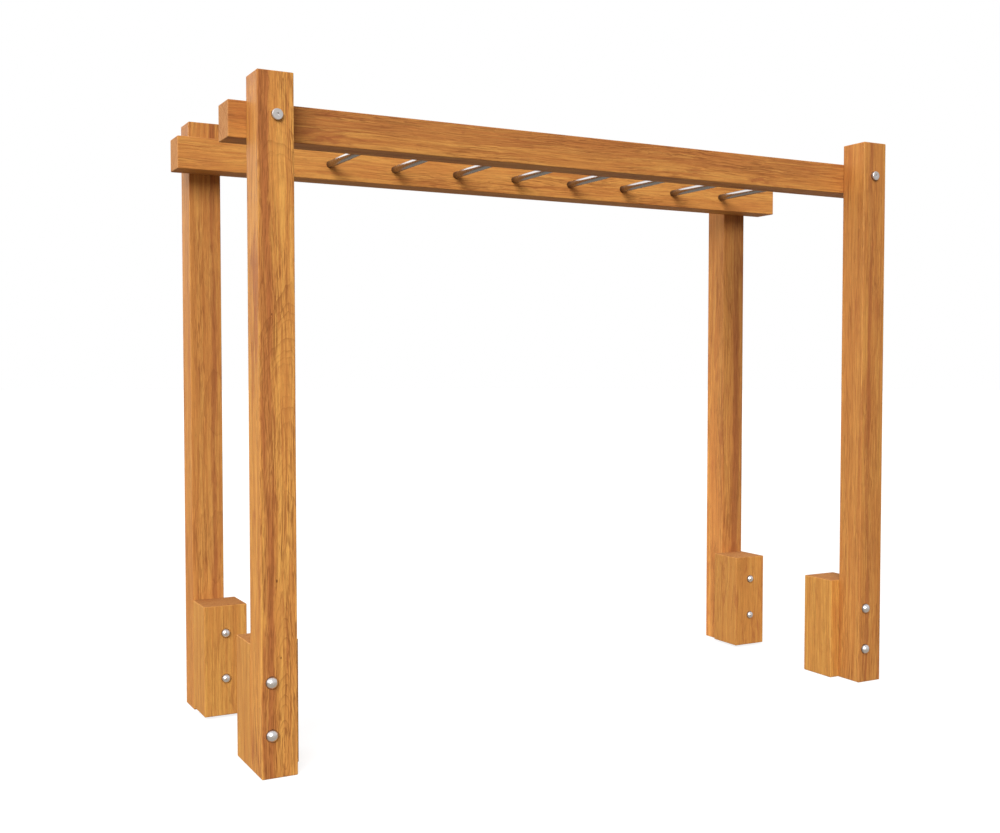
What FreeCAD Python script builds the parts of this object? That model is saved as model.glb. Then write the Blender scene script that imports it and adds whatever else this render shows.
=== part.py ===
import FreeCAD, Part
import os
import re
from collections import namedtuple

from FreeCAD import Placement, Rotation, Vector
from Sketcher import Constraint

# A timber overhead ladder: four posts, two beams bolted to the posts' inner faces, nine steel rungs
# socketed into the beams, and an anchor block bolted to each post's foot.
# +X runs along the beams, +Y from the front pair of posts to the back pair, +Z up.
# The origin is on the ground, midway along the beams and midway between the two pairs of posts.

# Driving dimensions, in millimetres.
SIZES = {
    "post_side": 140,             # square section of a post
    "post_height": 2625,          # foot to top of a post
    "frame_length": 3130,         # over the outer faces of the left and right posts
    "frame_depth": 1200,          # over the outer faces of the front and back posts
    "back_left_inset": 10,        # how far the back left post stands inside the front left one
    "beam_length": 3300,          # whole length of a beam
    "beam_thickness": 130,        # front to back
    "beam_height": 140,           # bottom to top
    "beam_bottom": 2395,          # height of a beam's underside
    "left_overhang": 70,          # how far a beam passes the front left post
    "block_side": 190,            # square section of an anchor block
    "block_height": 485,          # bottom to top of an anchor block
    "back_block_lift": 12,        # height of the back blocks' undersides above the posts' feet
    "timber_round": 4,            # rounding of the timbers' arrises
    "rung_diameter": 32,          # outside of the rung tube
    "rung_wall": 3,               # wall of the rung tube
    "rung_pitch": 320,            # spacing of the rungs
    "rung_count": 9,              # number of rungs
    "socket_depth": 85,           # depth of a rung's blind socket in a beam
    "socket_diameter": 32.4,      # bore of a rung's blind socket
    "lock_inset": 35,             # lock screw's distance from the beam's inner face
    "lock_shank": 8,              # diameter of a lock screw
    "lock_head": 16,              # diameter of a lock screw's countersunk head
    "lock_head_height": 4,        # height of a lock screw's countersunk head
    "lock_length": 64,            # whole length of a lock screw
    "lock_point": 5,              # length of a lock screw's conical point
    "lock_bore": 8.4,             # bore for a lock screw in the beam and the rung
    "lock_key": 5,                # width across corners of the hexagonal recess in a lock screw
    "lock_key_depth": 2.5,        # depth of that recess
    "bolt_shank": 16,             # shank of the beam bolts and the anchor bolts
    "bolt_bore": 18,              # clearance bore for the bolts in the timbers
    "disc_diameter": 42,          # flat head of a beam bolt
    "disc_height": 14,            # thickness of that head
    "disc_bevel": 2,              # bevel round that head's rim
    "disc_key": 12,               # width across corners of that head's hexagonal recess
    "disc_key_depth": 4,          # depth of that recess
    "beam_bolt_inset": 4,         # how far a beam bolt is from the middle of its post, towards the rungs
    "beam_bolt_reach": 90,        # how far a beam bolt goes into the beam
    "beam_bolt_bore_depth": 105,  # depth of the bore for it
    "barrel_diameter": 25,        # barrel nut inside the beam
    "barrel_length": 50,          # length of the barrel nut
    "barrel_bore": 26,            # vertical bore for the barrel nut
    "thread_bore": 16.4,          # bore of the barrel nuts and dome nuts
    "plug_diameter": 25.8,        # timber plug above a barrel nut
    "bolt_dome_diameter": 48,     # domed head of an anchor bolt
    "bolt_dome_height": 20,       # height of that head
    "dome_rim": 2,                # straight rim under a dome
    "anchor_bolt_length": 315,    # anchor bolt under its head
    "nut_dome_diameter": 40,      # domed head of a dome nut
    "nut_dome_height": 17,        # height of that head
    "sleeve_diameter": 22,        # dome nut's threaded sleeve
    "sleeve_length": 45,          # length of that sleeve
    "sleeve_bore_depth": 40,      # depth of the thread in that sleeve
    "sleeve_seat": 23,            # bore for the sleeve in the block
    "sleeve_seat_depth": 50,      # depth of that bore
    "anchor_bolt_low": 163,       # lower anchor bolt above the underside of its block
    "anchor_bolt_pitch": 200,     # spacing of a post's two anchor bolts
    "front_bolt_inset": 40,       # anchor bolts of a front post from that post's left face
}
SIZE_NAMES = re.compile(r"\b(" + "|".join(SIZES) + r")\b")

# Places shared by several pieces, as formulas of the driving dimensions.
LEFT_POST_X = "(left_overhang - beam_length / 2 + post_side / 2)"
BACK_LEFT_POST_X = f"({LEFT_POST_X} + back_left_inset)"
RIGHT_POST_X = "(left_overhang - beam_length / 2 + frame_length - post_side / 2)"
OUTSIDE_Y = "(frame_depth / 2)"
POST_Y = "(frame_depth / 2 - post_side / 2)"
BEAM_Y = "(frame_depth / 2 - post_side - beam_thickness / 2)"
BEAM_INNER_Y = "(frame_depth / 2 - post_side - beam_thickness)"
BLOCK_Y = "(frame_depth / 2 - post_side - block_side / 2)"
BLOCK_INNER_Y = "(frame_depth / 2 - post_side - block_side)"
BEAM_AXIS_Z = "(beam_bottom + beam_height / 2)"
BEAM_TOP_Z = "(beam_bottom + beam_height)"
LOCK_Y = f"({BEAM_INNER_Y} + lock_inset)"
BLOCK_OVERSIZE = "((block_side - post_side) / 2)"

# side is -1 for the front of the ladder and +1 for the back. beam_bolt_x is where the beam's bolt goes through
# the post, and anchor_bolt_x is where the two anchor bolts go through it. lift is the height of the block.
Corner = namedtuple("Corner", "name side post_x block_x beam_bolt_x anchor_bolt_x lift")
FRONT_BOLT_SHIFT = "(front_bolt_inset - post_side / 2)"
LEFT_BLOCK_X = f"({LEFT_POST_X} + {BLOCK_OVERSIZE})"
BACK_LEFT_BLOCK_X = f"({BACK_LEFT_POST_X} + {BLOCK_OVERSIZE})"
RIGHT_BLOCK_X = f"({RIGHT_POST_X} - {BLOCK_OVERSIZE})"
CORNERS = [
    Corner("front_left", -1, LEFT_POST_X, LEFT_BLOCK_X, f"({LEFT_POST_X} + beam_bolt_inset)",
           f"({LEFT_POST_X} + {FRONT_BOLT_SHIFT})", "0"),
    Corner("front_right", -1, RIGHT_POST_X, RIGHT_BLOCK_X, f"({RIGHT_POST_X} - beam_bolt_inset)",
           f"({RIGHT_POST_X} + {FRONT_BOLT_SHIFT})", "0"),
    Corner("back_left", 1, BACK_LEFT_POST_X, BACK_LEFT_BLOCK_X, f"({BACK_LEFT_POST_X} + beam_bolt_inset)",
           BACK_LEFT_BLOCK_X, "back_block_lift"),
    Corner("back_right", 1, RIGHT_POST_X, RIGHT_BLOCK_X, f"({RIGHT_POST_X} - beam_bolt_inset)",
           RIGHT_BLOCK_X, "back_block_lift"),
]
SIDE_NAMES = {-1: "front", 1: "back"}
BOLT_LEVELS = [("lower", "anchor_bolt_low"), ("upper", "(anchor_bolt_low + anchor_bolt_pitch)")]

# Turns that bring a piece modelled along its own Z to where it points in the ladder.
POINTS_BACK = Rotation(Vector(1, 0, 0), -90)
POINTS_FRONT = Rotation(Vector(1, 0, 0), 90)
UPRIGHT = Rotation()
HALF_TURN = Rotation(Vector(0, 0, 1), 180)

doc = FreeCAD.newDocument("overhead_ladder")
sheet = doc.addObject("Spreadsheet::Sheet", "Sizes")
for row, (name, value) in enumerate(SIZES.items(), start=1):
    sheet.set(f"A{row}", str(value))
    sheet.setAlias(f"A{row}", name)
doc.recompute()
subparts = []


def number(formula):
    """The value of a formula of driving dimensions."""
    return float(sheet.evalExpression(in_sheet(formula)))


def in_sheet(formula):
    """The formula as an expression that reads the spreadsheet."""
    return SIZE_NAMES.sub(r"Sizes.\1", formula)


def bind(item, name, formula):
    """Ties a property to a formula of driving dimensions."""
    item.setExpression(name, in_sheet(formula))


def place(item, label, rotation, x, y, z):
    """Names a finished sub-part and puts it where it belongs."""
    item.Label = label
    item.Placement = Placement(Vector(0, 0, 0), rotation)
    bind(item, ".Placement.Base.x", x)
    bind(item, ".Placement.Base.y", y)
    bind(item, ".Placement.Base.z", z)
    subparts.append(item)


def rung_x(index):
    """The formula for a rung's place, counted from the left."""
    return f"rung_pitch * ({index} - (rung_count - 1) / 2)"


def toward(side, formula):
    """The formula with its sign set for the front or the back of the ladder."""
    return f"{side} * {formula}"


# Sketches and features of the timbers and rungs


def new_sketch(body, name, plane_role):
    sketch = body.newObject("Sketcher::SketchObject", name)
    plane = next(item for item in body.Origin.OriginFeatures if item.Role == plane_role)
    sketch.AttachmentSupport = [(plane, "")]
    sketch.MapMode = "FlatFace"
    return sketch


def constrain(sketch, name, constraint, formula):
    """Adds a dimension to a sketch and ties it to a formula."""
    index = sketch.addConstraint(constraint)
    sketch.renameConstraint(index, name)
    bind(sketch, f".Constraints.{name}", formula)


def draw_rectangle(sketch, width, height):
    """A rectangle centred on the sketch's origin."""
    half_width = number(width) / 2
    half_height = number(height) / 2
    corners = [
        Vector(-half_width, -half_height, 0),
        Vector(half_width, -half_height, 0),
        Vector(half_width, half_height, 0),
        Vector(-half_width, half_height, 0),
    ]
    for start, end in zip(corners, corners[1:] + corners[:1]):
        sketch.addGeometry(Part.LineSegment(start, end))
    for line in range(4):
        sketch.addConstraint(Constraint("Coincident", line, 2, (line + 1) % 4, 1))
        sketch.addConstraint(Constraint("Vertical" if line % 2 else "Horizontal", line))
    sketch.addConstraint(Constraint("Symmetric", 0, 1, 2, 1, -1, 1))
    constrain(sketch, "width", Constraint("DistanceX", 0, 1, 0, 2, 2 * half_width), width)
    constrain(sketch, "height", Constraint("DistanceY", 1, 1, 1, 2, 2 * half_height), height)


def draw_circle(sketch, name, diameter, x, y):
    size = number(diameter)
    centre = Vector(number(x), number(y), 0)
    circle = sketch.addGeometry(Part.Circle(centre, Vector(0, 0, 1), size / 2))
    constrain(sketch, f"{name}_diameter", Constraint("Diameter", circle, size), diameter)
    constrain(sketch, f"{name}_x", Constraint("DistanceX", -1, 1, circle, 3, centre.x), x)
    constrain(sketch, f"{name}_y", Constraint("DistanceY", -1, 1, circle, 3, centre.y), y)


def add_pad(body, sketch, length):
    pad = body.newObject("PartDesign::Pad", "Pad")
    pad.Profile = sketch
    bind(pad, "Length", length)
    doc.recompute()
    return pad


def round_arrises(body, pad):
    """Rounds every edge of a sawn timber."""
    fillet = body.newObject("PartDesign::Fillet", "Rounding")
    fillet.Base = (pad, [f"Edge{index + 1}" for index in range(len(pad.Shape.Edges))])
    bind(fillet, "Radius", "timber_round")
    doc.recompute()


def cut_through(body, sketch):
    """Cuts a sketch right through the body, both ways from its plane."""
    before = body.Shape.Volume
    pocket = body.newObject("PartDesign::Pocket", f"{sketch.Name}_cut")
    pocket.Profile = sketch
    pocket.Type = "ThroughAll"
    pocket.SideType = "Symmetric"
    doc.recompute()
    check_cut(body, before)
    return pocket


def cut_blind(body, sketch, depth, along_normal):
    """Cuts a sketch to a depth, along its normal (towards -Y from an XZ sketch) or against it."""
    before = body.Shape.Volume
    pocket = body.newObject("PartDesign::Pocket", f"{sketch.Name}_cut")
    pocket.Profile = sketch
    pocket.Type = "Length"
    pocket.Reversed = along_normal
    bind(pocket, "Length", depth)
    doc.recompute()
    check_cut(body, before)
    return pocket


def check_cut(body, before):
    if body.Shape.Volume > before - 1:
        raise RuntimeError(f"{body.Name}: a cut took nothing away")


def repeat_along_x(body, cut, sketch):
    """Repeats a cut once for each rung, along the sketch's horizontal axis."""
    before = body.Shape.Volume
    pattern = body.newObject("PartDesign::LinearPattern", f"{cut.Name}_row")
    pattern.Originals = [cut]
    pattern.Direction = (sketch, ["H_Axis"])
    pattern.Mode = "Spacing"
    bind(pattern, "Offset", "rung_pitch")
    bind(pattern, "Occurrences", "rung_count")
    body.Tip = pattern
    doc.recompute()
    check_cut(body, before)


# Timbers


def make_post(corner):
    """A square post with one bore for the beam bolt and two for the anchor bolts."""
    body = doc.addObject("PartDesign::Body", f"Post_{corner.name}")
    section = new_sketch(body, "Section", "XY_Plane")
    draw_rectangle(section, "post_side", "post_side")
    round_arrises(body, add_pad(body, section, "post_height"))
    bores = new_sketch(body, "Bores", "XZ_Plane")
    draw_circle(bores, "beam_bolt", "bolt_bore", f"{corner.beam_bolt_x} - {corner.post_x}", BEAM_AXIS_Z)
    for level, height in BOLT_LEVELS:
        bolt_x = f"{corner.anchor_bolt_x} - {corner.post_x}"
        draw_circle(bores, f"{level}_bolt", "bolt_bore", bolt_x, f"{corner.lift} + {height}")
    cut_through(body, bores)
    place(body, f"post_{corner.name}", UPRIGHT, corner.post_x, toward(corner.side, POST_Y), "0")


def make_block(corner):
    """An anchor block; its own +Y face is the one that looks into the ladder."""
    body = doc.addObject("PartDesign::Body", f"Block_{corner.name}")
    section = new_sketch(body, "Section", "XY_Plane")
    draw_rectangle(section, "block_side", "block_side")
    round_arrises(body, add_pad(body, section, "block_height"))
    bolt_x = toward(-corner.side, f"({corner.anchor_bolt_x} - {corner.block_x})")
    bores = new_sketch(body, "Bores", "XZ_Plane")
    seats = new_sketch(body, "Sleeve_seats", "XZ_Plane")
    bind(seats, ".AttachmentOffset.Base.z", "-block_side / 2")
    for level, height in BOLT_LEVELS:
        draw_circle(bores, f"{level}_bolt", "bolt_bore", bolt_x, height)
        draw_circle(seats, f"{level}_seat", "sleeve_seat", bolt_x, height)
    cut_through(body, bores)
    cut_blind(body, seats, "sleeve_seat_depth", True)
    rotation = UPRIGHT if corner.side < 0 else HALF_TURN
    own_y = toward(corner.side, BLOCK_Y)
    place(body, f"anchor_block_{corner.name}", rotation, corner.block_x, own_y, corner.lift)


def make_beam(side, bolt_places):
    """A beam, lying along X; its own -Y face is the one that meets the posts."""
    body = doc.addObject("PartDesign::Body", f"Beam_{SIDE_NAMES[side]}")
    section = new_sketch(body, "Plan", "XY_Plane")
    draw_rectangle(section, "beam_length", "beam_thickness")
    round_arrises(body, add_pad(body, section, "beam_height"))

    bolt_bores = new_sketch(body, "Bolt_bores", "XZ_Plane")
    bind(bolt_bores, ".AttachmentOffset.Base.z", "beam_thickness / 2")
    barrel_bores = new_sketch(body, "Barrel_bores", "XY_Plane")
    bind(barrel_bores, ".AttachmentOffset.Base.z", "beam_height")
    for name, place_x in bolt_places.items():
        own_x = toward(-side, place_x)
        draw_circle(bolt_bores, name, "bolt_bore", own_x, "beam_height / 2")
        draw_circle(barrel_bores, name, "barrel_bore", own_x, "0")
    cut_blind(body, bolt_bores, "beam_bolt_bore_depth", False)
    cut_blind(body, barrel_bores, "beam_height / 2 + barrel_length / 2", False)

    socket = new_sketch(body, "Rung_socket", "XZ_Plane")
    bind(socket, ".AttachmentOffset.Base.z", "-beam_thickness / 2")
    draw_circle(socket, "rung", "socket_diameter", rung_x(0), "beam_height / 2")
    repeat_along_x(body, cut_blind(body, socket, "socket_depth", True), socket)

    screw = new_sketch(body, "Lock_screw", "XY_Plane")
    bind(screw, ".AttachmentOffset.Base.z", "beam_height")
    draw_circle(screw, "screw", "lock_bore", rung_x(0), "beam_thickness / 2 - lock_inset")
    before = body.Shape.Volume
    hole = body.newObject("PartDesign::Hole", "Lock_screw_hole")
    hole.Profile = screw
    doc.recompute()
    hole.DepthType = "Dimension"
    hole.DrillPoint = "Flat"
    hole.HoleCutType = "Countersink"
    bind(hole, "Diameter", "lock_bore")
    bind(hole, "Depth", "beam_height / 2")
    bind(hole, "HoleCutDiameter", "lock_head")
    hole.HoleCutCountersinkAngle = 90
    doc.recompute()
    check_cut(body, before)
    repeat_along_x(body, hole, screw)

    rotation = UPRIGHT if side < 0 else HALF_TURN
    place(body, f"beam_{SIDE_NAMES[side]}", rotation, "0", toward(side, BEAM_Y), "beam_bottom")


# Rungs


def make_rung(index):
    """A tube along its own Z; its -Y wall, which turns upwards, has a lock screw's hole near each end."""
    length = f"(2 * ({BEAM_INNER_Y} + socket_depth))"
    body = doc.addObject("PartDesign::Body", f"Rung_{index + 1}")
    section = new_sketch(body, "Section", "XY_Plane")
    draw_circle(section, "outside", "rung_diameter", "0", "0")
    draw_circle(section, "inside", "rung_diameter - 2 * rung_wall", "0", "0")
    add_pad(body, section, length)
    holes = new_sketch(body, "Lock_holes", "XZ_Plane")
    from_end = "(socket_depth - lock_inset)"
    draw_circle(holes, "near", "lock_bore", "0", from_end)
    draw_circle(holes, "far", "lock_bore", "0", f"{length} - {from_end}")
    cut_blind(body, holes, "rung_diameter", True)
    place(body, f"rung_{index + 1}", POINTS_BACK, rung_x(index), f"-{length} / 2", BEAM_AXIS_Z)


# Steel fasteners, from primitives. Each is modelled along its own Z with its bearing face at Z = 0.


def add_cylinder(diameter, height, bottom):
    item = doc.addObject("Part::Cylinder", "Cylinder")
    bind(item, "Radius", f"{diameter} / 2")
    bind(item, "Height", height)
    bind(item, ".Placement.Base.z", bottom)
    return item


def add_cone(bottom_diameter, top_diameter, height, bottom):
    item = doc.addObject("Part::Cone", "Cone")
    bind(item, "Radius1", f"{bottom_diameter} / 2")
    bind(item, "Radius2", f"{top_diameter} / 2")
    bind(item, "Height", height)
    bind(item, ".Placement.Base.z", bottom)
    return item


def add_key_recess(width, depth, bottom):
    item = doc.addObject("Part::Prism", "Hexagon")
    item.Polygon = 6
    bind(item, "Circumradius", f"{width} / 2")
    bind(item, "Height", depth)
    bind(item, ".Placement.Base.z", bottom)
    return item


def add_dome(diameter, height):
    """A domed head above Z = 0: a slice of a ball, standing on a short straight rim."""
    rise = f"({height} - dome_rim)"
    ball_radius = f"(({diameter} / 2) ^ 2 + {rise} ^ 2) / (2 * {rise})"
    ball = doc.addObject("Part::Sphere", "Ball")
    bind(ball, "Radius", ball_radius)
    bind(ball, ".Placement.Base.z", f"{height} - {ball_radius}")
    head = doc.addObject("Part::Common", "Dome")
    head.Base = ball
    head.Tool = add_cylinder(diameter, height, "0")
    return head


def add_fuse(items):
    item = doc.addObject("Part::MultiFuse", "Fuse")
    item.Shapes = items
    return item


def add_cut(base, tool):
    item = doc.addObject("Part::Cut", "Cut")
    item.Base = base
    item.Tool = tool
    return item


def make_beam_bolt(corner):
    """A disc-headed bolt; the head is above its own Z = 0 and the shank below it."""
    shank_length = "(post_side + beam_bolt_reach)"
    rim = add_cylinder("disc_diameter", "disc_height - disc_bevel", "0")
    bevelled = add_cone("disc_diameter", "(disc_diameter - 2 * disc_bevel)", "disc_bevel",
                        "disc_height - disc_bevel")
    shank = add_cylinder("bolt_shank", shank_length, f"-{shank_length}")
    recess = add_key_recess("disc_key", "disc_key_depth", "disc_height - disc_key_depth")
    bolt = add_cut(add_fuse([rim, bevelled, shank]), recess)
    rotation = POINTS_FRONT if corner.side < 0 else POINTS_BACK
    own_y = toward(corner.side, OUTSIDE_Y)
    place(bolt, f"beam_bolt_{corner.name}", rotation, corner.beam_bolt_x, own_y, BEAM_AXIS_Z)


def make_barrel_nut(corner):
    """An upright barrel with a cross hole for the beam bolt."""
    barrel = add_cylinder("barrel_diameter", "barrel_length", "-barrel_length / 2")
    cross = add_cylinder("thread_bore", "2 * barrel_diameter", "0")
    cross.Placement = Placement(Vector(0, 0, 0), POINTS_FRONT)
    bind(cross, ".Placement.Base.y", "barrel_diameter")
    nut = add_cut(barrel, cross)
    own_y = toward(corner.side, BEAM_Y)
    place(nut, f"barrel_nut_{corner.name}", UPRIGHT, corner.beam_bolt_x, own_y, BEAM_AXIS_Z)


def make_plug(corner):
    """A timber plug from the barrel nut's top to the top of the beam."""
    height = "(beam_height / 2 - barrel_length / 2)"
    bevel = "dome_rim / 2"
    body = add_cylinder("plug_diameter", f"{height} - {bevel}", "0")
    top = add_cone("plug_diameter", f"(plug_diameter - 2 * {bevel})", bevel, f"{height} - {bevel}")
    plug = add_fuse([body, top])
    own_y = toward(corner.side, BEAM_Y)
    bottom = f"{BEAM_AXIS_Z} + barrel_length / 2"
    place(plug, f"bore_plug_{corner.name}", UPRIGHT, corner.beam_bolt_x, own_y, bottom)


def make_anchor_bolt(corner, level, height):
    """A dome-headed bolt through a post's foot into its block."""
    shank = add_cylinder("bolt_shank", "anchor_bolt_length", "-anchor_bolt_length")
    bolt = add_fuse([add_dome("bolt_dome_diameter", "bolt_dome_height"), shank])
    rotation = POINTS_FRONT if corner.side < 0 else POINTS_BACK
    label = f"anchor_bolt_{corner.name}_{level}"
    own_y = toward(corner.side, OUTSIDE_Y)
    place(bolt, label, rotation, corner.anchor_bolt_x, own_y, f"{corner.lift} + {height}")


def make_dome_nut(corner, level, height):
    """A dome nut with a threaded sleeve that reaches down the bolt's bore."""
    sleeve = add_cylinder("sleeve_diameter", "sleeve_length", "-sleeve_length")
    thread = add_cylinder("thread_bore", "sleeve_bore_depth", "-sleeve_length")
    nut = add_cut(add_fuse([add_dome("nut_dome_diameter", "nut_dome_height"), sleeve]), thread)
    rotation = POINTS_BACK if corner.side < 0 else POINTS_FRONT
    label = f"dome_nut_{corner.name}_{level}"
    own_y = toward(corner.side, BLOCK_INNER_Y)
    place(nut, label, rotation, corner.anchor_bolt_x, own_y, f"{corner.lift} + {height}")


def make_lock_screws(side):
    """One countersunk lock screw to each rung, in a row along the top of a beam."""
    shank_length = "(lock_length - lock_head_height - lock_point)"
    head = add_cone("lock_shank", "lock_head", "lock_head_height", "-lock_head_height")
    shank = add_cylinder("lock_shank", shank_length, f"-lock_head_height - {shank_length}")
    point = add_cone("(lock_shank / 4)", "lock_shank", "lock_point", "-lock_length")
    recess = add_key_recess("lock_key", "lock_key_depth", "-lock_key_depth")
    screw = add_cut(add_fuse([head, shank, point]), recess)
    doc.recompute()
    copies = []
    for index in range(SIZES["rung_count"]):
        copy = screw.Shape.copy()
        copy.translate(Vector(number(rung_x(index)), 0, 0))
        copies.append(copy)
    row = doc.addObject("Part::Feature", f"Lock_screws_{SIDE_NAMES[side]}")
    row.Shape = Part.makeCompound(copies)
    place(row, f"rung_lock_screws_{SIDE_NAMES[side]}", UPRIGHT, "0", toward(side, LOCK_Y), BEAM_TOP_Z)


# The whole ladder

for corner in CORNERS:
    make_post(corner)
    make_block(corner)
    make_beam_bolt(corner)
    make_barrel_nut(corner)
    make_plug(corner)
    for level, height in BOLT_LEVELS:
        make_anchor_bolt(corner, level, height)
        make_dome_nut(corner, level, height)
for side in (-1, 1):
    places = {corner.name: corner.beam_bolt_x for corner in CORNERS if corner.side == side}
    make_beam(side, places)
    make_lock_screws(side)
for index in range(SIZES["rung_count"]):
    make_rung(index)
doc.recompute()

for item in doc.Objects:
    if "Invalid" in item.State or "Error" in item.State:
        raise RuntimeError(f"{item.Label}: {item.State}")
for item in subparts:
    if item.Shape.isNull() or not item.Shape.isValid():
        raise RuntimeError(f"{item.Label}: the shape is null or not valid")

os.makedirs("parts", exist_ok=True)
for item in subparts:
    item.Shape.exportStep(os.path.join("parts", f"{item.Label}.step"))
whole = Part.makeCompound([item.Shape for item in subparts]).BoundBox
print(f"{len(subparts)} sub-parts, {whole.XLength:.1f} x {whole.YLength:.1f} x {whole.ZLength:.1f} mm")
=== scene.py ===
"""The looks of the timber overhead ladder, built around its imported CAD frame."""
import math
import random
from dataclasses import dataclass

import bpy
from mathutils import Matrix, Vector


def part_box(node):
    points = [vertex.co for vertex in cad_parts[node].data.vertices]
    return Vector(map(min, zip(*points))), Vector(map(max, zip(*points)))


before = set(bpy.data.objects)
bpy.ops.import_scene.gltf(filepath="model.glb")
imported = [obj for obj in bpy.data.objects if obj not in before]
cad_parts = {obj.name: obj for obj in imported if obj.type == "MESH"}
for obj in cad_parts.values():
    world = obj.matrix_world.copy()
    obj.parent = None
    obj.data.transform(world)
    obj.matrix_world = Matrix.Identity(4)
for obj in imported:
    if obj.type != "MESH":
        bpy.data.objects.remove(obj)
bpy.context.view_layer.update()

CORNERS = ("front_left", "front_right", "back_left", "back_right")

# The Mix node's sockets for colours: it has others, of the same names, for numbers and vectors.
MIX_SHARE, MIX_FIRST, MIX_SECOND = 0, 6, 7
MIX_RESULT = 2


def rgb(red, green, blue):
    return (red, green, blue, 1.0)


WHITE = rgb(1.0, 1.0, 1.0)


class Graph:
    """The node tree of a new material or world, with short calls that add a node and give back its output."""

    def __init__(self, owner):
        owner.use_nodes = True
        self.owner = owner
        self.tree = owner.node_tree
        self.tree.nodes.clear()

    def feed(self, socket, value):
        """Links value to the socket if it is another node's output, or else sets it."""
        if isinstance(value, bpy.types.NodeSocket):
            self.tree.links.new(value, socket)
        else:
            socket.default_value = value

    def add(self, kind, inputs=None, **settings):
        node = self.tree.nodes.new(kind)
        for name, value in settings.items():
            setattr(node, name, value)
        for name, value in (inputs or {}).items():
            self.feed(node.inputs[name], value)
        return node

    def math(self, operation, a, b=0.0, c=0.0):
        return self.add("ShaderNodeMath", {0: a, 1: b, 2: c}, operation=operation).outputs[0]

    def times(self, a, b):
        return self.math("MULTIPLY", a, b)

    def times_plus(self, a, b, c):
        return self.math("MULTIPLY_ADD", a, b, c)

    def total(self, first, *others):
        for other in others:
            first = self.math("ADD", first, other)
        return first

    def weigh(self, *parts):
        """The sum of each part's value times its weight."""
        return self.total(*(self.times(value, weight) for value, weight in parts))

    def vector(self, operation, a, b):
        return self.add("ShaderNodeVectorMath", {0: a, 1: b}, operation=operation).outputs[0]

    def join(self, x, y, z):
        return self.add("ShaderNodeCombineXYZ", {0: x, 1: y, 2: z}).outputs[0]

    def split(self, vector):
        return self.add("ShaderNodeSeparateXYZ", {0: vector}).outputs

    def noise(self, vector, detail=2.0, roughness=0.5, distortion=0.0, colour=False):
        node = self.add("ShaderNodeTexNoise", {"Vector": vector, "Scale": 1.0, "Detail": detail,
                                               "Roughness": roughness, "Distortion": distortion})
        return node.outputs["Color" if colour else "Fac"]

    def ease(self, value, start, end, low=0.0, high=1.0):
        """Goes smoothly from low to high while value goes from start to end."""
        node = self.add("ShaderNodeMapRange", {"Value": value, "From Min": start, "From Max": end,
                                               "To Min": low, "To Max": high},
                        interpolation_type="SMOOTHSTEP")
        return node.outputs[0]

    def mix(self, share, first, second, blend="MIX"):
        node = self.add("ShaderNodeMix", data_type="RGBA", blend_type=blend)
        self.feed(node.inputs[MIX_SHARE], share)
        self.feed(node.inputs[MIX_FIRST], first)
        self.feed(node.inputs[MIX_SECOND], second)
        return node.outputs[MIX_RESULT]

    def tint(self, colour, mask, strength, other):
        """Mixes the other colour in where the mask is 1, as strongly as strength says."""
        return self.mix(self.times(mask, strength), colour, other)

    def principled(self, height, relief, bump_strength, inputs):
        """Ends a material in the Principled shader, with height times relief as its bump in metres."""
        bump = self.add("ShaderNodeBump", {"Height": height, "Distance": relief, "Strength": bump_strength})
        shader = self.add("ShaderNodeBsdfPrincipled", {**inputs, "Normal": bump.outputs[0]})
        self.add("ShaderNodeOutputMaterial", {"Surface": shader.outputs[0]})
        return self.owner


def dress(node, material):
    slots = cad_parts[node].data.materials
    slots.clear()
    slots.append(material)


# ---------------------------------------------------------------- oiled timber

GOLDEN = rgb(0.700, 0.325, 0.075)
HONEY = rgb(0.620, 0.255, 0.058)
BROWN = rgb(0.500, 0.180, 0.042)
HEART_RED = rgb(0.370, 0.105, 0.032)
STREAK_BROWN = rgb(0.245, 0.075, 0.018)
KNOT_BROWN = rgb(0.120, 0.038, 0.012)
# The arris colour stands for wear and also for a painted highlight along the arrises.
ARRIS_WEAR_AND_HIGHLIGHT = rgb(0.740, 0.380, 0.120)
END_PALE = rgb(0.570, 0.270, 0.082)
END_BROWN = rgb(0.410, 0.160, 0.045)

# How far a noise's place may be moved, in its own features, and the value that it sways about.
NOISE_SHIFT = 40.0
NOISE_MIDDLE = (0.5, 0.5, 0.5)
# Noises: features per metre across the timber and along it, detail, roughness and distortion.
SWAY = (4.0, 1.1, 1.0, 0.5, 0.0)
SWIRL = (28.0, 6.0, 2.0, 0.5, 0.0)
PITH_STRAY = (0.0, 1.5, 1.0, 0.5, 0.0)
OPEN_PORES = (420.0, 1.0, 2.0, 0.5, 0.0)
ARRIS_RUB = (60.0, 14.0, 3.0, 0.5, 0.0)
# The ones that follow the bent grain, in the order in which they draw their places.
GRAIN_NOISES = {
    "fade": (60.0, 7.0, 2.0, 0.5, 0.0),
    "broad": (36.0, 1.3, 3.0, 0.6, 0.0),
    "streak": (130.0, 2.6, 3.0, 0.6, 0.0),
    "thread": (290.0, 3.4, 2.0, 0.6, 0.0),
    "fibre": (620.0, 11.0, 3.0, 0.65, 0.0),
    "dash": (210.0, 13.0, 2.0, 0.5, 0.0),
    "pore": (1500.0, 60.0, 1.0, 0.5, 0.0),
    "crowd": (14.0, 1.9, 2.0, 0.5, 0.0),
    "patch": (26.0, 4.5, 4.0, 0.65, 0.6),
}

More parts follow.
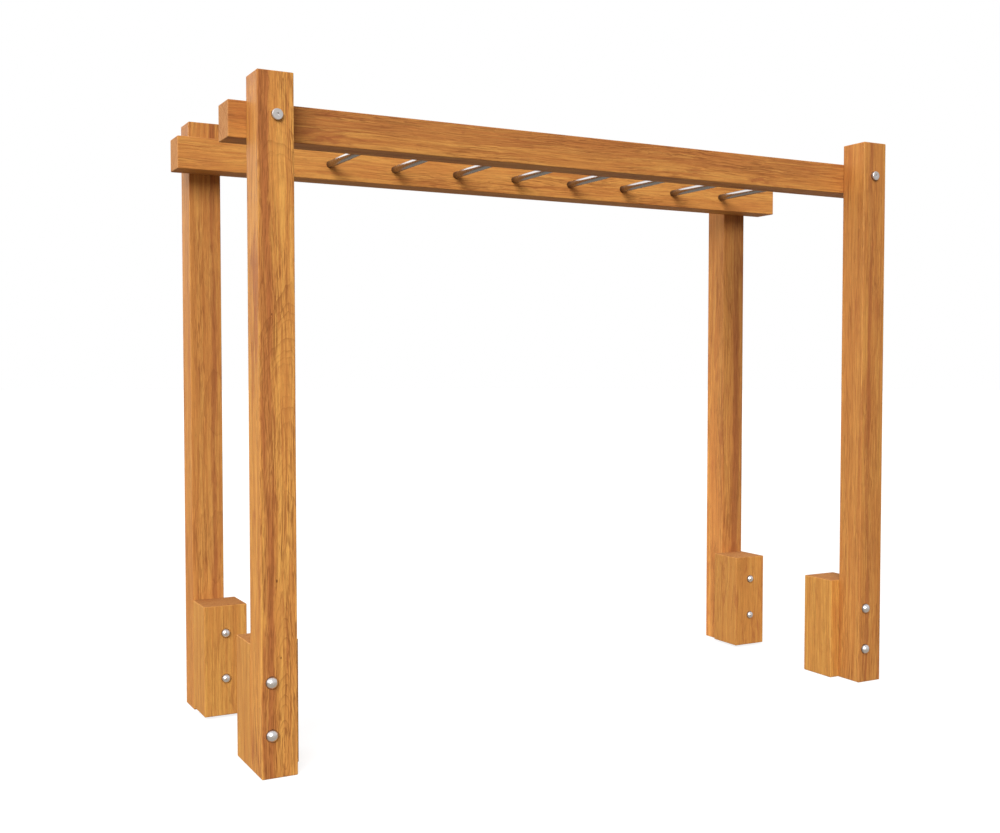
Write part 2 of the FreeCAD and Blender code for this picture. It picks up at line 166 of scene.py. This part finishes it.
# Where each mask starts and ends to show on its noise, and how weak and strong it gets if not 0 and 1.
HONEY_SHOWS = (0.36, 0.60)
STREAK_SHOWS = (0.42, 0.66)
THREAD_SHOWS = (0.50, 0.60)
DASH_SHOWS = (0.56, 0.66)
PORE_SHOWS = (0.62, 0.74)
CROWD_SHOWS = (0.40, 0.62, 0.15, 1.0)
PATCH_SHOWS = (0.52, 0.68)
BAND_SHOWS = (0.30, 0.60, 0.55, 1.0)
LINE_CHANCE = (0.0, 0.9, 0.25, 1.0)
LINE_FADE = (0.30, 0.58, 0.35, 1.0)
END_PATCH_SHOWS = (0.42, 0.62)
OPEN_PORE_SHOWS = (0.60, 0.70)
RAY_SHOWS = (0.50, 0.66)
RUB_SHOWS = (0.35, 0.70)

# How strongly each mask tints the colour.
BROWN_STRENGTH = 0.55
DARK_BROWN_STRENGTH = 0.30
RED_STRENGTH = 0.75
LINE_STRENGTH = 0.40
CROWDED_LINE_STRENGTH = 0.45
THREAD_STRENGTH = 0.68
DASH_STRENGTH = 0.70
PORE_STRENGTH = 0.35
KNOT_STRENGTH = 0.85
END_BROWN_LEAST = 0.12
END_RING_STRENGTH = 0.40
END_PATCH_STRENGTH = 0.30
END_LINE_STRENGTH = 0.55
RAY_STRENGTH = 0.35
OPEN_PORE_STRENGTH = 0.5
WEAR_AND_HIGHLIGHT_STRENGTH = 0.3

# Lengths in metres.
SWAY_REACH = 0.05
SWIRL_REACH = 0.010
BAND_RAGGED = 0.05
BAND_EDGE = 0.008
SAWN_DEPTH = (0.0016, 0.0008)
ARRIS_DEPTH = (0.0045, 0.0010)
TIMBER_RELIEF = 0.0005

# Rings: how unevenly they are spaced, how sharp their dark lines are and where in the ring those end, and how
# fine the rays about the pith are.
SPACING_SCALE = 24.0
SPACING_SEED = 0.7
SPACING_RINGS = 5.0
LINE_SHARPNESS = 5.0
LINE_END = (1.0, 0.94)
RAYS = 70.0
RAY_SCALE = 9.0

# Knots: their length for their width, how far and how widely they bend the rings, and their dark edge.
KNOT_LENGTH = 1.8
KNOT_BEND = 7.0
KNOT_SPREAD = 3.0
KNOT_EDGE = (1.2, 0.1)

# How the fibre shades the colour, and how rough, glossy and embossed the timber is.
FIBRE_SHADE = 0.8
LEAST_SHADE = 0.62
TIMBER_ROUGHNESS = 0.42
STREAK_ROUGHNESS = 0.12
FIBRE_ROUGHNESS = 0.14
WEAR_AND_HIGHLIGHT_ROUGHNESS = -0.06
SAWN_ROUGHNESS = 0.5
TIMBER_GLOSS = 0.16
FIBRE_RELIEF = 0.45
THREAD_RELIEF = 0.4
PORE_RELIEF = -0.9
LINE_RELIEF = 0.3
TIMBER_BUMP = 0.6


@dataclass
class Timber:
    """What sets one timber apart from the others. Lengths are in metres from the timber's own middle."""

    along: str  # the axis that its length follows
    seed: int
    pith: tuple  # the middle of its rings across the section
    drift: float = 0.10  # how far the pith strays along the timber
    tilt: float = 0.0  # how fast the pith sinks on the section's second axis along the timber
    rings: float = 0.011  # the width of a ring
    band: tuple = (0.0, 0.0, 0.0)  # a reddish band's place on the section's first axis, half width, strength
    red: float = 0.5  # the strength of its reddish patches
    dark: float = 1.0  # the strength of its dark lines
    tone: tuple = (1.0, 1.0, 1.0)  # multiplies its colour
    painted_light_slope: tuple = (0.0, 0.0, 0.0)  # painted light and shade: how much paler it grows towards each side and its far end, darker towards the others
    sawn_tone_and_sheen: tuple = (1.0, 1.0, 1.0)  # multiplies the colour of its sawn ends; on the beams this is a painted sheen, paler and bluer
    knots: tuple = ()  # each knot's place across the section's first axis and along the timber, and its size


# The pale slopes below paint light and shade: each face and the top end lighter or darker as light falls on
# them.
TIMBERS = {
    "post_front_left": Timber(
        "z", seed=11, pith=(0.026, 0.075), drift=0.05, tilt=0.11, rings=0.006, band=(-0.040, 0.022, 1.0),
        red=0.60, dark=1.0, tone=(1.02, 1.07, 1.08),
        knots=((-0.008, -0.57, 0.004), (0.006, -0.86, 0.003), (-0.020, 0.42, 0.003))),
    "post_front_right": Timber(
        "z", seed=12, pith=(-0.150, 0.060), drift=0.05, rings=0.006, band=(-0.020, 0.012, 0.8),
        red=0.35, dark=0.62, tone=(0.85, 0.84, 0.88), painted_light_slope=(-0.04, 0.05, 0.02)),
    "post_back_left": Timber(
        "z", seed=13, pith=(0.040, 0.110), drift=0.08, rings=0.010, band=(0.030, 0.012, 0.8),
        red=0.40, dark=0.70, tone=(0.90, 0.90, 0.96), painted_light_slope=(-0.03, 0.06, -0.05)),
    "post_back_right": Timber(
        "z", seed=14, pith=(-0.110, 0.080), drift=0.06, rings=0.010, band=(0.020, 0.020, 0.8),
        red=0.60, dark=0.75, tone=(0.88, 0.87, 0.95), painted_light_slope=(-0.12, 0.12, -0.11)),
    # The beams' sawn tone paints a sheen on their ends.
    "beam_front": Timber(
        "x", seed=21, pith=(-0.120, 0.140), drift=0.04, rings=0.010, band=(0.045, 0.050, 0.45),
        red=0.90, dark=1.0, tone=(0.88, 0.88, 0.91), sawn_tone_and_sheen=(1.09, 1.17, 1.55)),
    "beam_back": Timber(
        "x", seed=22, pith=(0.110, 0.130), drift=0.04, rings=0.010,
        red=0.40, dark=0.80, tone=(0.94, 0.94, 0.96), sawn_tone_and_sheen=(1.12, 1.22, 1.60)),
    "anchor_block_front_left": Timber(
        "z", seed=31, pith=(0.020, 0.160), red=0.45, dark=0.40, tone=(0.90, 0.95, 0.95)),
    "anchor_block_front_right": Timber(
        "z", seed=32, pith=(0.150, 0.020), red=0.40, dark=0.35, tone=(0.90, 0.96, 0.93)),
    "anchor_block_back_left": Timber(
        "z", seed=33, pith=(0.130, 0.180), red=0.45, dark=0.40, tone=(0.92, 0.98, 0.98),
        sawn_tone_and_sheen=(0.90, 0.87, 0.82)),
    "anchor_block_back_right": Timber(
        "z", seed=34, pith=(0.150, 0.150), red=0.75, dark=0.50, tone=(0.89, 0.93, 0.94),
        painted_light_slope=(0.05, 0.0, 0.0)),
}
PLUG_SEED = 60
PLUG_PITH = (0.020, 0.010)
PLUG_TONE = (0.85, 0.82, 0.80)


class TimberGraph(Graph):
    """Oiled hardwood, solid through one timber: rings about a pith that strays, lines, pores and knots.

    Its ways are u and v across the section and l along the timber, in metres from the timber's middle."""

    def __init__(self, name, node, timber):
        super().__init__(bpy.data.materials.new(name))
        self.timber = timber
        self.draw = random.Random(timber.seed)
        low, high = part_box(node)
        half = (high - low) / 2
        place = self.add("ShaderNodeTexCoord").outputs["Object"]
        x, y, z = self.split(self.vector("SUBTRACT", place, (low + high) / 2))
        if timber.along == "x":
            self.ways = (z, y, x)
            self.reaches = (half.z, half.y, half.x)
        else:
            self.ways = (x, y, z)
            self.reaches = (half.x, half.y, half.z)
        self.straight = self.join(*self.ways)
        self.grain = self.bent_grain()
        self.ring_u, self.ring_v = self.from_pith()
        squared = self.weigh((self.ring_u, self.ring_u), (self.ring_v, self.ring_v))
        self.radius = self.math("SQRT", squared)
        self.knot_dark = self.bend_rings()
        self.ring, self.late, chance = self.rings()
        self.layers = {name: self.layer(self.grain, *look) for name, look in GRAIN_NOISES.items()}
        boldness = self.times(self.ease(chance, *LINE_CHANCE), self.ease(self.layers["fade"], *LINE_FADE))
        self.line = self.times(self.late, boldness)
        self.pore = self.ease(self.layers["pore"], *PORE_SHOWS)

    def layer(self, vector, across, along, detail, roughness, distortion, colour=False):
        """A noise with across and along features per metre, at a place that the timber's seed draws."""
        shift = tuple(self.draw.uniform(-NOISE_SHIFT, NOISE_SHIFT) for _ in range(3))
        scaled = self.vector("MULTIPLY", vector, (across, across, along))
        return self.noise(self.vector("ADD", scaled, shift), detail, roughness, distortion, colour)

    def wander(self, look, reach):
        """How far the grain goes aside, which is up to about half of reach."""
        noise = self.layer(self.straight, *look, colour=True)
        aside = self.vector("SUBTRACT", noise, NOISE_MIDDLE)
        return self.vector("MULTIPLY", aside, (reach, reach, 0.0))

    def bent_grain(self):
        """The grain sways a little along the timber and turns about small swirls."""
        aside = self.vector("ADD", self.wander(SWAY, SWAY_REACH), self.wander(SWIRL, SWIRL_REACH))
        return self.vector("ADD", self.straight, aside)

    def from_pith(self):
        """The way from the pith across the section. The pith strays most on the section's second axis."""
        timber = self.timber
        bent_u, bent_v, _ = self.split(self.grain)
        stray_u, stray_v, _ = self.split(self.layer(self.straight, *PITH_STRAY, colour=True))
        swing_u = timber.drift / 2
        swing_v = timber.drift * 2
        sunk = self.times_plus(self.ways[2], -timber.tilt, -swing_v / 2 - timber.pith[1])
        ring_u = self.math("ADD", bent_u, self.times_plus(stray_u, swing_u, -swing_u / 2 - timber.pith[0]))
        ring_v = self.math("ADD", bent_v, self.times_plus(stray_v, swing_v, sunk))
        return ring_u, ring_v

    def bend_rings(self):
        """Bends the rings around the knots, and gives how dark the knots' middles are."""
        u, _, l = self.ways
        knot_dark = 0.0
        for across, down, size in self.timber.knots:
            off_u = self.math("DIVIDE", self.math("SUBTRACT", u, across), size)
            off_l = self.math("DIVIDE", self.math("SUBTRACT", l, down), size * KNOT_LENGTH)
            away = self.weigh((off_u, off_u), (off_l, off_l))
            bend = self.math("DIVIDE", size * KNOT_BEND, self.math("ADD", away, KNOT_SPREAD))
            self.radius = self.math("ADD", self.radius, bend)
            knot_dark = self.math("MAXIMUM", self.ease(away, *KNOT_EDGE), knot_dark)
        return knot_dark

    def rings(self):
        """The way through a ring, the thin dark line that it ends in, and a random number of its own."""
        where = self.join(self.times(self.radius, SPACING_SCALE), self.timber.seed * SPACING_SEED, 0.0)
        uneven = self.times(self.noise(where), SPACING_RINGS)
        phase = self.math("ADD", self.math("DIVIDE", self.radius, self.timber.rings), uneven)
        ring = self.math("FRACT", phase)
        late = self.times(self.math("POWER", ring, LINE_SHARPNESS), self.ease(ring, *LINE_END))
        chance = self.add("ShaderNodeTexWhiteNoise", {"W": self.math("FLOOR", phase)}, noise_dimensions="1D")
        return ring, late, chance.outputs["Value"]

    def side_colour(self):
        """Golden to brown streaks, reddish heartwood, dark lines, threads and dashes, pores and knots, and
        painted light and shade.
        """
        timber = self.timber
        layers = self.layers
        place, half_width, strength = timber.band
        off_band = self.math("ABSOLUTE", self.math("SUBTRACT", self.split(self.grain)[0], place))
        ragged = self.times_plus(layers["patch"], -BAND_RAGGED, self.math("ADD", off_band, BAND_RAGGED / 2))
        band = self.times(self.ease(ragged, half_width + BAND_EDGE, half_width - BAND_EDGE), strength)
        redness = self.math("MAXIMUM", self.times(band, self.ease(layers["broad"], *BAND_SHOWS)),
                            self.times(self.ease(layers["patch"], *PATCH_SHOWS), timber.red))
        crowd = self.math("MAXIMUM", self.ease(layers["crowd"], *CROWD_SHOWS), band)
        crowd = self.times(crowd, timber.dark)

        colour = self.mix(self.ease(layers["broad"], *HONEY_SHOWS), GOLDEN, HONEY)
        brown_strength = BROWN_STRENGTH + DARK_BROWN_STRENGTH * timber.dark
        colour = self.tint(colour, self.ease(layers["streak"], *STREAK_SHOWS), brown_strength, BROWN)
        colour = self.tint(colour, redness, RED_STRENGTH, HEART_RED)
        line_strength = self.times_plus(crowd, CROWDED_LINE_STRENGTH, LINE_STRENGTH * timber.dark)
        colour = self.tint(colour, self.line, line_strength, STREAK_BROWN)
        thread_strength = self.times(crowd, THREAD_STRENGTH)
        colour = self.tint(colour, self.ease(layers["thread"], *THREAD_SHOWS), thread_strength, STREAK_BROWN)
        dash_strength = self.times(crowd, DASH_STRENGTH)
        colour = self.tint(colour, self.ease(layers["dash"], *DASH_SHOWS), dash_strength, STREAK_BROWN)
        shade = self.times_plus(layers["fibre"], FIBRE_SHADE, LEAST_SHADE)
        # Painted light and shade: paler or darker towards each side and the far end.
        for way, reach, share in zip(self.ways, self.reaches, timber.painted_light_slope):
            shade = self.times(shade, self.times_plus(way, share / reach, 1.0))
        toned = self.join(*(self.times(shade, part) for part in timber.tone))
        colour = self.mix(1.0, colour, toned, "MULTIPLY")
        colour = self.tint(colour, self.pore, PORE_STRENGTH, KNOT_BROWN)
        return self.tint(colour, self.knot_dark, KNOT_STRENGTH, KNOT_BROWN)

    def end_colour(self):
        """The sawn ends show the rings, the rays between them and the open pores, with a painted sheen on the
        beams.
        """
        open_pore = self.ease(self.layer(self.straight, *OPEN_PORES), *OPEN_PORE_SHOWS)
        angle = self.math("ARCTAN2", self.ring_v, self.ring_u)
        ray = self.noise(self.join(self.times(angle, RAYS), self.times(self.radius, RAY_SCALE), 0.0))
        patch = self.ease(self.layers["patch"], *END_PATCH_SHOWS)
        brown = self.weigh((self.ring, END_RING_STRENGTH), (patch, END_PATCH_STRENGTH))
        colour = self.mix(self.total(brown, END_BROWN_LEAST), END_PALE, END_BROWN)
        colour = self.tint(colour, self.late, END_LINE_STRENGTH, STREAK_BROWN)
        colour = self.tint(colour, self.ease(ray, *RAY_SHOWS), RAY_STRENGTH, HEART_RED)
        colour = self.tint(colour, open_pore, OPEN_PORE_STRENGTH, KNOT_BROWN)
        # The sawn tone: on the beams a painted sheen, paler and bluer.
        return self.mix(1.0, colour, rgb(*self.timber.sawn_tone_and_sheen), "MULTIPLY")

    def wear_and_highlight(self, depths):
        """How rubbed the arrises are, also a painted highlight. The two smaller depths below the faces add up
        to the way from one.
        """
        furthest = self.math("MAXIMUM", self.math("MAXIMUM", depths[0], depths[1]), depths[2])
        from_arris = self.math("SUBTRACT", self.total(*depths), furthest)
        rub = self.layer(self.straight, *ARRIS_RUB)
        return self.times(self.ease(from_arris, *ARRIS_DEPTH), self.ease(rub, *RUB_SHOWS))

    def material(self):
        depths = [self.math("SUBTRACT", reach, self.math("ABSOLUTE", way))
                  for way, reach in zip(self.ways, self.reaches)]
        sawn = self.ease(depths[2], *SAWN_DEPTH)
        colour = self.mix(sawn, self.side_colour(), self.end_colour())
        wear_and_highlight = self.wear_and_highlight(depths)
        # Wear and a painted highlight lighten the arrises.
        colour = self.tint(colour, wear_and_highlight, WEAR_AND_HIGHLIGHT_STRENGTH, ARRIS_WEAR_AND_HIGHLIGHT)
        streak, thread, fibre = (self.layers[name] for name in ("streak", "thread", "fibre"))
        rough = self.total(self.weigh((streak, STREAK_ROUGHNESS), (fibre, FIBRE_ROUGHNESS),
                                      (wear_and_highlight, WEAR_AND_HIGHLIGHT_ROUGHNESS), (sawn, SAWN_ROUGHNESS)), TIMBER_ROUGHNESS)
        height = self.weigh((fibre, FIBRE_RELIEF), (thread, THREAD_RELIEF), (self.pore, PORE_RELIEF),
                            (self.line, LINE_RELIEF))
        return self.principled(height, TIMBER_RELIEF, TIMBER_BUMP, {
            "Base Color": colour, "Roughness": rough, "Specular IOR Level": TIMBER_GLOSS})


def dress_timbers():
    for node, timber in TIMBERS.items():
        dress(node, TimberGraph(f"{node}_oiled", node, timber).material())
    for number, corner in enumerate(CORNERS):
        plug = f"bore_plug_{corner}"
        timber = Timber("z", seed=PLUG_SEED + number, pith=PLUG_PITH, tone=PLUG_TONE)
        dress(plug, TimberGraph(f"{plug}_oiled", plug, timber).material())


dress_timbers()


# ---------------------------------------------------------------- steel

# Painted shade and painted reflection of the timber, on steel close to a timber's face.
FACE_SHADE_BROWN = rgb(0.085, 0.050, 0.032)
POLISHED = rgb(0.80, 0.78, 0.79)

# Scratches: their noise's detail and roughness, how they tone the steel, and their relief in metres.
SCRATCH_DETAIL = (4.0, 0.7)
SCRATCH_TONE = 0.12
LEAST_TONE = 0.94
STEEL_RELIEF = 0.00008
STEEL_BUMP = 0.5
# Smudges: how many there are per metre, their noise's detail, and how much rougher they are. The offset takes
# the usual roughness of scratches and smudges off again.
SMUDGES = (14.0, 14.0, 14.0)
SMUDGE_DETAIL = 3.0
SMUDGE_ROUGHNESS = 0.08
MARKS_OFFSET = -0.07
# Painted shade and wood reflection: how ragged, where it starts and is full, as shares of its reach, and how
# much rougher.
FACE_SHADE_RAGGED = 0.5
FACE_SHADE_STARTS = 1.25
FACE_SHADE_FULL = 0.30
FACE_SHADE_ROUGHNESS = 0.15


@dataclass
class FaceShade:
    """Painted shade and painted reflection of the timber on the steel that stands out of a timber's face."""

    face: float  # the distance from the ladder's middle to the face
    side: float  # the side of the face that the steel is on: 1 outside, -1 inside
    reach: float  # how far the painted shade reaches from the face
    strength: float


@dataclass
class Steel:
    """One finish of stainless steel with a fine brushed lay."""

    name: str
    starts: tuple  # how the names of its nodes start
    base: tuple
    roughness: float
    lay: tuple  # how many scratches there are per metre on each axis
    brush: float = 0.06  # how much the scratches roughen it
    # painted shade and reflection of the timber near a face, if any
    face_shade: FaceShade = None


BEAM_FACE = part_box("beam_back")[0].y
POST_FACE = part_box("post_back_left")[1].y
BLOCK_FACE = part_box("anchor_block_back_left")[0].y
# A node takes the first steel that has the start of its name.
STEELS = (
    Steel("fixing_satin", ("rung_lock", "barrel_nut"), rgb(0.60, 0.57, 0.565), 0.40, (900.0, 900.0, 900.0)),
    Steel("rung_satin", ("rung",), rgb(0.35, 0.33, 0.325), 0.26, (1600.0, 60.0, 1600.0),
          face_shade=FaceShade(BEAM_FACE, -1.0, reach=0.060, strength=0.75)),
    Steel("bolt_polished", ("anchor_bolt",), POLISHED, 0.24, (300.0, 300.0, 300.0), brush=0.03,
          face_shade=FaceShade(POST_FACE, 1.0, reach=0.013, strength=0.85)),
    Steel("nut_polished", ("dome_nut",), POLISHED, 0.24, (300.0, 300.0, 300.0), brush=0.03,
          face_shade=FaceShade(BLOCK_FACE, -1.0, reach=0.011, strength=0.85)),
    Steel("disc_satin", ("beam_bolt",), rgb(0.64, 0.61, 0.605), 0.42, (900.0, 900.0, 900.0),
          face_shade=FaceShade(POST_FACE, 1.0, reach=0.010, strength=0.80)),
)


def steel_material(steel):
    g = Graph(bpy.data.materials.new(steel.name))
    place = g.add("ShaderNodeTexCoord").outputs["Object"]
    scratch = g.noise(g.vector("MULTIPLY", place, steel.lay), *SCRATCH_DETAIL)
    smudge = g.noise(g.vector("MULTIPLY", place, SMUDGES), SMUDGE_DETAIL)
    marks = g.weigh((scratch, steel.brush), (smudge, SMUDGE_ROUGHNESS))
    rough = g.total(marks, steel.roughness + MARKS_OFFSET)
    tone = g.total(g.times(scratch, SCRATCH_TONE), LEAST_TONE)
    colour = g.mix(1.0, steel.base, g.join(tone, tone, tone), "MULTIPLY")
    face_shade = steel.face_shade
    # Painted shade and painted reflection of the timber: dark brown on the steel close to the timber's face.
    if face_shade:
        from_middle = g.math("ABSOLUTE", g.split(place)[1])
        away = g.times_plus(from_middle, face_shade.side, -face_shade.side * face_shade.face)
        ragged = g.times_plus(scratch, FACE_SHADE_RAGGED * face_shade.reach, away)
        face_shaded = g.ease(ragged, FACE_SHADE_STARTS * face_shade.reach, FACE_SHADE_FULL * face_shade.reach)
        colour = g.tint(colour, face_shaded, face_shade.strength, FACE_SHADE_BROWN)
        rough = g.times_plus(face_shaded, FACE_SHADE_ROUGHNESS, rough)
    return g.principled(scratch, STEEL_RELIEF, STEEL_BUMP, {
        "Base Color": colour, "Roughness": rough, "Metallic": 1.0})


def dress_steel():
    materials = [(steel.starts, steel_material(steel)) for steel in STEELS]
    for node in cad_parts:
        fitting = [material for starts, material in materials if node.startswith(starts)]
        if fitting:
            dress(node, fitting[0])


dress_steel()


# ---------------------------------------------------------------- studio

FLOOR_RADIUS = 90.0
FLOOR_CORNERS = 96
FLOOR_GREY = rgb(0.30, 0.30, 0.30)
FLOOR_GLOW = 0.80

# Each soft lamp: the way to it, its strength, and how wide it looks in degrees.
LAMPS = {
    "key": ((-0.52, -0.70, 0.49), 3.25, 38.0),
    "side": ((-0.80, 0.45, 0.25), 0.92, 60.0),
    "fill": ((0.85, 0.45, 0.06), 1.3, 60.0),
}

# The world's light: the floor's, which is warm, and what the sky adds, most at the back. A pair of numbers is
# where something starts and is full, as the height, depth or side of a direction of length 1.
BOUNCE = rgb(1.0, 0.91, 0.78)
HORIZON = (-0.04, 0.10)
BACK = (-0.25, 0.35)
FLOOR_LIGHT = 0.29
SKY_LIGHT = 0.14
BACK_SKY_LIGHT = 0.16
# What glossy surfaces mirror: the floor, dimmer far away at the back, and what the sky adds, most at the back
# left. The sky's edge is at two heights: how far the back moves each one, and where it is in front.
FLOOR_SHINE = 0.46
FAR_FLOOR = (-0.40, -0.20)
FAR_FLOOR_SHINE = -0.30
SKY_SHINE = 0.29
SKY_EDGE_LOW = (0.5, -0.5)
SKY_EDGE_HIGH = (-0.3, 0.5)
BACK_LEFT = (0.30, -0.15)
BACK_SHINE = 0.40
BACK_LEFT_SHINE = 1.60

# The camera: millimetres inside it, metres outside it, and degrees.
SENSOR_WIDTH = 36.0
FOCAL_LENGTH = 43.47
CLIP_END = 300.0
CAMERA_PLACE = (-2.8917, -4.9312, 1.5265)
CAMERA_PITCH = 87.807
CAMERA_HEADING = -28.127


def make_floor():
    bpy.ops.mesh.primitive_circle_add(vertices=FLOOR_CORNERS, radius=FLOOR_RADIUS, fill_type="NGON")
    floor = bpy.context.object
    floor.name = "studio_floor"
    g = Graph(bpy.data.materials.new("studio_floor"))
    diffuse = g.add("ShaderNodeBsdfDiffuse", {"Color": FLOOR_GREY})
    glow = g.add("ShaderNodeEmission", {"Color": WHITE, "Strength": FLOOR_GLOW})
    both = g.add("ShaderNodeAddShader", {0: diffuse.outputs[0], 1: glow.outputs[0]})
    g.add("ShaderNodeOutputMaterial", {"Surface": both.outputs[0]})
    floor.data.materials.append(g.owner)
    floor.visible_diffuse = False
    floor.visible_glossy = False


def make_world():
    """The world is white to look at, lights the object softly, and has a room of its own for reflections."""
    g = Graph(bpy.data.worlds.new("studio"))
    bpy.context.scene.world = g.owner
    x, y, z = g.split(g.add("ShaderNodeTexCoord").outputs["Generated"])
    sky = g.ease(z, *HORIZON)
    back = g.ease(y, *BACK)
    light = g.times_plus(sky, g.times_plus(back, BACK_SKY_LIGHT, SKY_LIGHT), FLOOR_LIGHT)
    floor_shine = g.times_plus(g.ease(z, *FAR_FLOOR), g.times(back, FAR_FLOOR_SHINE), FLOOR_SHINE)
    above = g.ease(z, g.times_plus(back, *SKY_EDGE_LOW), g.times_plus(back, *SKY_EDGE_HIGH))
    back_shine = g.times_plus(g.ease(x, *BACK_LEFT), BACK_LEFT_SHINE, BACK_SHINE)
    shine = g.times_plus(above, g.times_plus(back, back_shine, SKY_SHINE), floor_shine)
    path = g.add("ShaderNodeLightPath").outputs
    colour = g.mix(sky, BOUNCE, WHITE)
    lights, shines, white = (
        g.add("ShaderNodeBackground", {"Color": tint, "Strength": strength}).outputs[0]
        for tint, strength in ((colour, light), (colour, shine), (WHITE, 1.0)))
    lit = g.add("ShaderNodeMixShader", {0: path["Is Glossy Ray"], 1: lights, 2: shines}).outputs[0]
    seen = g.add("ShaderNodeMixShader", {0: path["Is Camera Ray"], 1: lit, 2: white}).outputs[0]
    g.add("ShaderNodeOutputWorld", {"Surface": seen})


def make_lamps():
    """Soft lamps far away. Only the key lamp shows in reflections."""
    for name, (direction, strength, spread) in LAMPS.items():
        lamp = bpy.data.lights.new(name, "SUN")
        lamp.energy = strength
        lamp.angle = math.radians(spread)
        holder = bpy.data.objects.new(name, lamp)
        holder.rotation_euler = Vector(direction).to_track_quat("Z", "Y").to_euler()
        holder.visible_glossy = name == "key"
        bpy.context.scene.collection.objects.link(holder)


def make_camera():
    lens = bpy.data.cameras.new("camera")
    lens.sensor_width = SENSOR_WIDTH
    lens.lens = FOCAL_LENGTH
    lens.clip_end = CLIP_END
    camera = bpy.data.objects.new("camera", lens)
    camera.location = CAMERA_PLACE
    camera.rotation_euler = (math.radians(CAMERA_PITCH), 0.0, math.radians(CAMERA_HEADING))
    bpy.context.scene.collection.objects.link(camera)
    bpy.context.scene.camera = camera


make_floor()
make_world()
make_lamps()
make_camera()
bpy.context.scene.view_settings.view_transform = "Standard"
